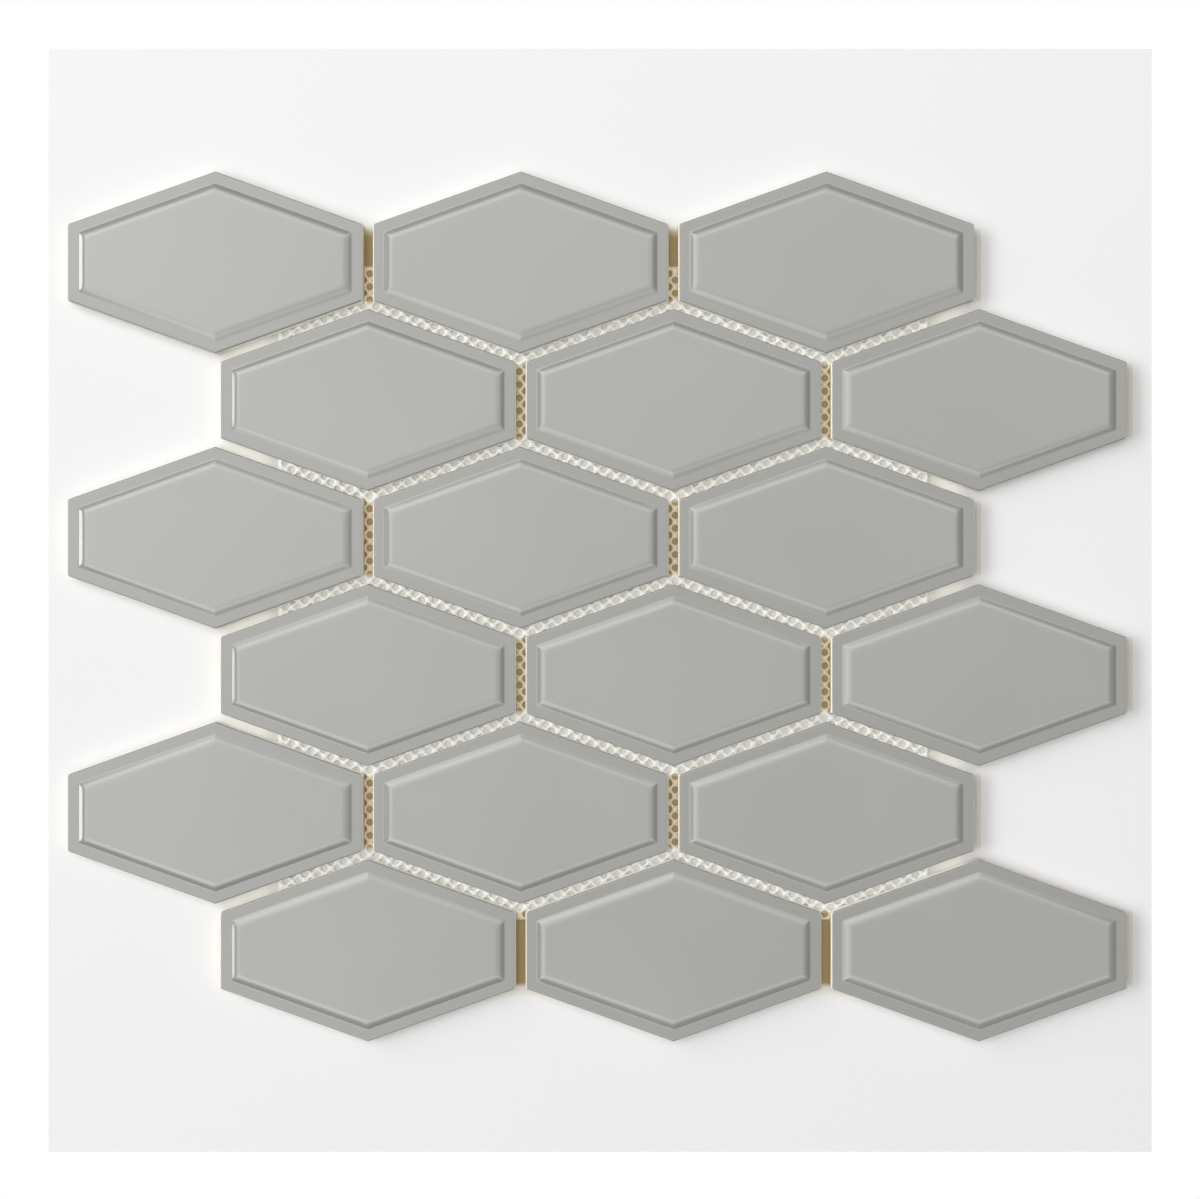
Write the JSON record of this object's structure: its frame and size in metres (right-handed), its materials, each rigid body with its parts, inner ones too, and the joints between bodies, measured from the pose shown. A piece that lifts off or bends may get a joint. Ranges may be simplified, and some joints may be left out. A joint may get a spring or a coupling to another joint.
{
  "type": "mosaic tile sheet",
  "caption": "Sheet of stretched hexagon tiles, each with a flat rim round a raised middle panel, offset by half a tile from row to row, on a perforated backing.",
  "frame": {"origin": "under the middle of the tile field, on the flat underside of the backing sheet that the part lies on", "axes": "+X runs along the rows of tiles, +Y across them towards the first row, +Z out of the glazed faces"},
  "size_m": [0.3524, 0.2894, 0.0053],
  "materials": {
    "glazed_tile": "smooth grey glaze over a cream fired body",
    "backing": "matt off-white perforated sheet"
  },
  "bodies": {
    "root": {"tile_row1_left": "glazed_tile", "tile_row1_middle": "glazed_tile", "tile_row1_right": "glazed_tile", "tile_row2_left": "glazed_tile", "tile_row2_middle": "glazed_tile", "tile_row2_right": "glazed_tile", "tile_row3_left": "glazed_tile", "tile_row3_middle": "glazed_tile", "tile_row3_right": "glazed_tile", "tile_row4_left": "glazed_tile", "tile_row4_middle": "glazed_tile", "tile_row4_right": "glazed_tile", "tile_row5_left": "glazed_tile", "tile_row5_middle": "glazed_tile", "tile_row5_right": "glazed_tile", "tile_row6_left": "glazed_tile", "tile_row6_middle": "glazed_tile", "tile_row6_right": "glazed_tile", "backing_sheet": "backing"}
  },
  "joints": []
}
